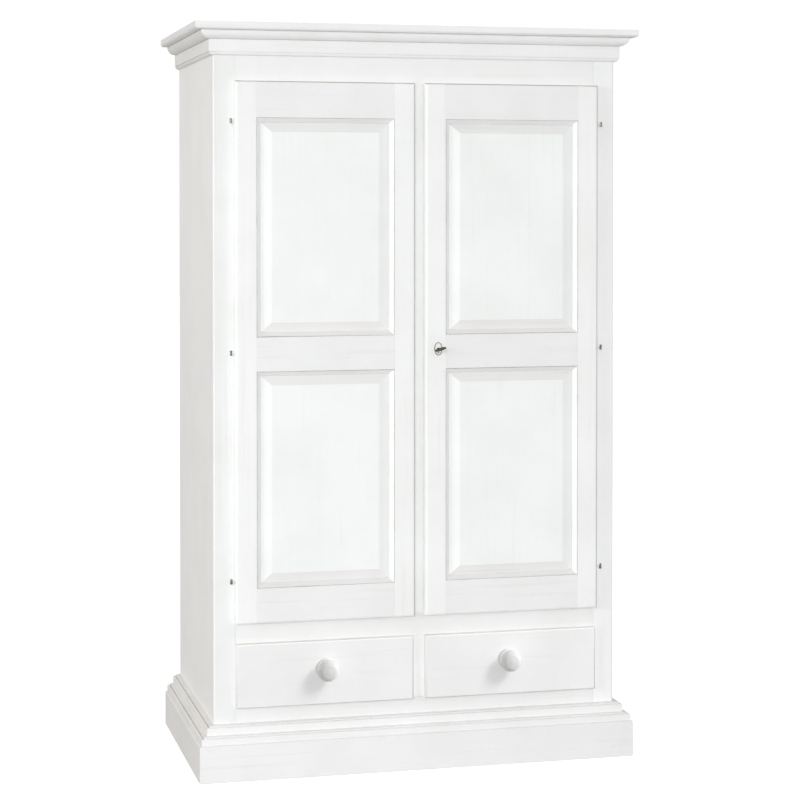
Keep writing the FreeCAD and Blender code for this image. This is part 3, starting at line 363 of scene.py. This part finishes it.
# A dark grey-brown paint for the painted shade at the back of the door and drawer roundings.
edge_shade_paint = old_white_paint("old_white_paint_edge_shade", "Z", white=(0.42, 0.395, 0.36, 1))
paint_panel = old_white_paint("old_white_paint_panel", "Z", white=(0.885, 0.905, 0.895, 1), thin=0.07)
paint_top_bevel = old_white_paint("old_white_paint_top_bevel", "X", white=(0.80, 0.80, 0.79, 1), thin=0.2)
paint_foot_bevel = old_white_paint("old_white_paint_foot_bevel", "X", white=(0.82, 0.81, 0.80, 1), thin=0.3)
for side in ("left", "right"):
    door = f"door_{side}"
    door_right = max(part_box(f"{door}_{upright}")[1].x for upright in ("hanging_stile", "meeting_stile"))
    door_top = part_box(f"{door}_hanging_stile")[1].z
    for upright in ("hanging_stile", "meeting_stile"):
        piece = dressed(f"{door}_{upright}", door, door_arris, paint_upright)
        paint_shade_on_edges(piece, door_right, door_top, door_round, door_turned)
    for rail in ("end_rails", "middle_rail"):
        piece = dressed(f"{door}_{rail}", door, door_arris, paint_across)
        paint_shade_on_edges(piece, door_right, door_top, door_round, door_turned)
    for panel in ("upper_panel", "lower_panel"):
        piece = dressed(f"{door}_{panel}", door, panel_arris, paint_panel)
        piece.data.materials.append(paint_top_bevel)
        piece.data.materials.append(paint_foot_bevel)
        for face in piece.data.polygons:
            on_front = face.normal.y < -0.5
            on_bevel = abs(face.normal.z) > 0.15
            if on_front and on_bevel:
                face.material_index = 1 if face.normal.z > 0 else 2


# ------------------------------------------------------------------ barrel hinges
# Three small barrel hinges a door, each two steel knuckles on a pin, with legs let into stile and door.
# The knuckles are bare steel gone dull and dark, and the legs were painted over with the frame.

dull_steel = metal("dull_dark_steel", (0.30, 0.285, 0.265, 1), 0.34, (0.12, 0.10, 0.085, 1), 0.7)
knuckle = 0.0032
knuckle_spare = 0.0004
hinge_low, hinge_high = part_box("hinge_frame_halves")
hinge_axis = Vector((hinge_high.x - knuckle, hinge_low.y + knuckle))
for half, body in (("hinge_frame_halves", "carcass"), ("door_left_hinge_halves", "door_left"),
                   ("door_right_hinge_halves", "door_right")):
    hinge = dressed(half, body, 0.0004, dull_steel)
    hinge.data.materials.append(paint_upright)
    for face in hinge.data.polygons:
        from_axis = (Vector((abs(face.center.x), face.center.y)) - hinge_axis).length
        face.material_index = int(from_axis > knuckle + knuckle_spare)


# ------------------------------------------------------------------ lock, bolt and strike plate
# A small steel rim lock on the back of the right door, whose bolt slides into the post between the doors.
# The post has a thin steel strike plate let in flush round the mortise.

lock_steel = metal("lock_steel", (0.46, 0.44, 0.41, 1), 0.32, (0.20, 0.17, 0.14, 1), 0.5)
dressed("lock_case", "door_right", 0.0008, lock_steel)
dressed("lock_bolt", "lock_bolt", 0.0005, lock_steel)
dressed("strike_plate", "carcass", 0.0002, lock_steel)


# ------------------------------------------------------------------ keyhole plate
# An oval plate of old white metal over the keyhole of the right door, with a raised rim round a sunk field.
# The field is painted pale, partly its own colour and partly a painted reflection of the bright room, and the
# rim has gone dark.

dark_rim = metal("darkened_rim", (0.30, 0.29, 0.27, 1), 0.36, (0.14, 0.125, 0.105, 1), 0.6, scale=240.0)
# The pale field is partly the metal's own colour and partly a painted reflection.
field_with_painted_reflection = metal("pale_metal_painted_reflection", (0.95, 0.94, 0.92, 1), 0.5, (0.62, 0.60, 0.56, 1), 0.35, scale=240.0)
field_with_painted_reflection.node_tree.nodes["Principled BSDF"].inputs["Metallic"].default_value = 0.35
escutcheon = dressed("escutcheon", "door_right", 0.0004, dark_rim, rounds=3)
escutcheon.data.materials.append(field_with_painted_reflection)
rim_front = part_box("escutcheon")[0].y
field_depth = 0.0004                # a face this far behind the rim belongs to the sunk field
for face in escutcheon.data.polygons:
    face.material_index = int(face.normal.y < -0.9 and face.center.y > rim_front + field_depth)


# ------------------------------------------------------------------ key
# A cast iron key with a round bow, a plain shaft and a solid bit, standing in the lock a little turned.
# It is dark all over, and smooth from handling.

dark_iron = metal("dark_iron", (0.115, 0.105, 0.095, 1), 0.38, (0.05, 0.04, 0.035, 1), 0.6)
dressed("key", "key", 0.0002, dark_iron)


# ------------------------------------------------------------------ magnetic catch
# A plastic-cased magnet on the post holds the left door by a steel keeper plate.
# The case is cream, and the plate is the same dull steel as the lock.

def pale_plastic(name):
    """Moulded cream plastic, a little darker in patches."""
    material = bpy.data.materials.new(name)
    material.use_nodes = True
    tree = material.node_tree
    surface = tree.nodes["Principled BSDF"]
    place = tree.nodes.new("ShaderNodeTexCoord").outputs["Object"]
    grain = shader_node(tree, "ShaderNodeTexNoise", Vector=place, Scale=900.0, Detail=3.0).outputs["Fac"]
    skin = blended(tree, between(tree, grain, 0.4, 0.7), (0.80, 0.77, 0.70, 1), (0.70, 0.66, 0.58, 1))
    tree.links.new(skin, surface.inputs["Base Color"])
    tree.links.new(between(tree, grain, 0.3, 0.7, 0.40, 0.55), surface.inputs["Roughness"])
    relief = shader_node(tree, "ShaderNodeBump", Strength=0.15, Distance=0.0002, Height=grain)
    tree.links.new(relief.outputs["Normal"], surface.inputs["Normal"])
    return material


catch_case = pale_plastic("catch_case_plastic")
dressed("door_catch", "carcass", 0.0012, catch_case, rounds=3)
dressed("catch_keeper", "door_left", 0.0003, lock_steel)


# ------------------------------------------------------------------ drawers
# Each drawer is a painted front with a rounded edge, glued to a bare wooden box with a thin bottom. The top
# edge of the front is painted darker, and a dark paint lies at the back of its rounding on the right: both
# are painted shade. The box keeps sharp arrises, because rounding them bends the faces at its rear corners.

drawer_arris = 0.0004
bottom_arris = 0.0003
drawer_round = 0.005
drawer_turned = 0.4
# A dark paint for the top edge of each drawer front, as painted shade along the top of the front.
drawer_top_shade_paint = old_white_paint("old_white_drawer_top_shade", "X", white=(0.62, 0.61, 0.59, 1))
for side in ("left", "right"):
    drawer = f"drawer_{side}"
    drawer_front = dressed(f"{drawer}_front", drawer, drawer_arris, paint_across)
    drawer_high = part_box(f"{drawer}_front")[1]
    # Dark paint at the back of the rounding on the right of the front: painted shade.
    paint_shade_on_edges(drawer_front, drawer_high.x, drawer_high.z, drawer_round, drawer_turned)
    drawer_front.data.materials.append(drawer_top_shade_paint)
    for face in drawer_front.data.polygons:
        if face.normal.z > faces_up:
            face.material_index = 2
    dressed(f"{drawer}_box", drawer, 0, wood_deep)
    dressed(f"{drawer}_bottom", drawer, bottom_arris, wood_across)


# ------------------------------------------------------------------ drawer knobs
# One turned wooden knob a drawer: a flat base, a coved neck and a full round head, doweled into the front.
# They are painted the same white, smooth from the lathe.

paint_knob = old_white_paint("old_white_paint_knob", "Y", white=(0.89, 0.89, 0.885, 1), thin=0.04, crease_grime_and_shade=0.6)
for side in ("left", "right"):
    dressed(f"drawer_{side}_knob", f"drawer_{side}", 0, paint_knob)


# ------------------------------------------------------------------ floor
# A plain floor under the cabinet.
# It glows nearly white to the camera alone, and reflects light as a mid grey.

bpy.ops.mesh.primitive_plane_add(size=60.0, location=(0, 0, 0))
floor = bpy.context.object
floor.name = "floor"
floor_white = bpy.data.materials.new("floor_white")
floor_white.use_nodes = True
floor_tree = floor_white.node_tree
floor_surface = floor_tree.nodes["Principled BSDF"]
floor_surface.inputs["Base Color"].default_value = (0.42, 0.42, 0.42, 1)
floor_surface.inputs["Roughness"].default_value = 0.9
floor_surface.inputs["Emission Color"].default_value = (1, 1, 1, 1)
floor_seen = floor_tree.nodes.new("ShaderNodeLightPath").outputs["Is Camera Ray"]
floor_tree.links.new(between(floor_tree, floor_seen, 0.0, 1.0, 0.0, 0.82),
                     floor_surface.inputs["Emission Strength"])
floor.data.materials.append(floor_white)


# ------------------------------------------------------------------ light
# Soft studio light: a bright even room, lamps in front and at both sides, and fills that cast no shadow.
# The treads of the base, the drawer fronts and the knobs have a lamp of their own, and the fills from the
# left and from below leave out the bare wood inside.

lamp_distance = 12.0
lamp_aim = Vector((0, -0.25, 1.0))


def soft_light(name, azimuth, elevation, width, power):
    """A square area light aimed at the middle of the cabinet; azimuth turns to the right from the front."""
    light = bpy.data.lights.new(name, "AREA")
    light.shape = "SQUARE"
    light.size = width
    light.energy = power
    lamp = bpy.data.objects.new(name, light)
    bpy.context.scene.collection.objects.link(lamp)
    turn = math.radians(azimuth)
    rise = math.radians(elevation)
    towards = Vector((math.sin(turn) * math.cos(rise), -math.cos(turn) * math.cos(rise), math.sin(rise)))
    lamp.location = lamp_aim + towards * lamp_distance
    lamp.rotation_euler = (-towards).to_track_quat("-Z", "Y").to_euler()
    return lamp


front_light = soft_light("front_light", -20, 12, 1.6, 290)
side_light = soft_light("side_light", -92, 8, 6.0, 105)
left_light = soft_light("left_light", -62, 10, 2.0, 210)
left_fill = soft_light("left_fill", -70, 8, 4.0, 160)
right_light = soft_light("right_light", 80, 6, 4.0, 115)
low_light = soft_light("low_light", -8, -35, 4.0, 380)
tread_light = soft_light("tread_light", -12, 62, 4.0, 25)
shadow_light = soft_light("knob_shadow_light", 44, 38, 4.0, 720)
knob_light = soft_light("knob_light", 62, 12, 3.0, 900)


def gathered(name, nodes, left_out=False):
    """The dressed pieces that a lamp is kept to, or with left_out the ones that it passes over."""
    group = bpy.data.collections.new(name)
    for node in nodes:
        group.objects.link(bpy.data.objects[f"{node}_made"])
    if left_out:
        for member in group.collection_objects:
            member.light_linking.link_state = "EXCLUDE"
    return group


drawer_knobs = [f"drawer_{side}_knob" for side in ("left", "right")]
drawer_fronts = [f"drawer_{side}_front" for side in ("left", "right")]
drawer_wood = [f"drawer_{side}_{part}" for side in ("left", "right") for part in ("box", "bottom")]
bare_inside = [*bare_boards, *drawer_wood]
knobs = gathered("knobs", drawer_knobs)
drawer_faces = gathered("drawer_faces", drawer_fronts)
treads = gathered("base_moulding", ["base_moulding_front", "base_moulding_returns"])
all_but_knobs = gathered("all_but_knobs", drawer_knobs, left_out=True)
all_but_drawers = gathered("all_but_drawers", drawer_knobs + drawer_fronts + bare_inside, left_out=True)
outside_only = gathered("outside_only", drawer_knobs + bare_inside, left_out=True)
hidden = gathered("hidden_inside", ["plinth_blocks"])
# A lamp that only a hidden block can stop casts no shadow.
for lamp in (left_fill, low_light, tread_light, knob_light):
    lamp.light_linking.blocker_collection = hidden
for lamp in (front_light, side_light, left_light):
    lamp.light_linking.blocker_collection = all_but_knobs
for lamp in (front_light, side_light, left_light, right_light):
    lamp.light_linking.receiver_collection = all_but_knobs
left_fill.light_linking.receiver_collection = outside_only
low_light.light_linking.receiver_collection = all_but_drawers
tread_light.light_linking.receiver_collection = treads
shadow_light.light_linking.receiver_collection = drawer_faces
knob_light.light_linking.receiver_collection = knobs
world = bpy.data.worlds.new("studio")
world.use_nodes = True
room = world.node_tree
seen = room.nodes.new("ShaderNodeLightPath").outputs["Is Camera Ray"]
room.nodes["Background"].inputs["Color"].default_value = (1.0, 1.0, 1.0, 1)
room.links.new(between(room, seen, 0.0, 1.0, 0.64, 1.05), room.nodes["Background"].inputs["Strength"])
bpy.context.scene.world = world
bpy.context.scene.view_settings.view_transform = "Standard"
bpy.context.scene.view_settings.look = "None"


# ------------------------------------------------------------------ camera
# A long lens from the left front, at about eye height.
# The lens is shifted down as far as the framing needs.

front_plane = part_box("door_post")[0].y
left_of_middle = 1.423
before_front = 5.524
lens_height = 1.514
tilted_down = 1.07
turned_right = 13.96
lens = bpy.data.cameras.new("camera")
lens.sensor_width = 36.0
lens.lens = 95.1
lens.shift_y = -0.1916
lens.clip_end = 200.0
camera = bpy.data.objects.new("camera", lens)
bpy.context.scene.collection.objects.link(camera)
camera.location = (-left_of_middle, front_plane - before_front, lens_height)
camera.rotation_euler = (math.radians(90 - tilted_down), 0, math.radians(-turned_right))
bpy.context.scene.camera = camera
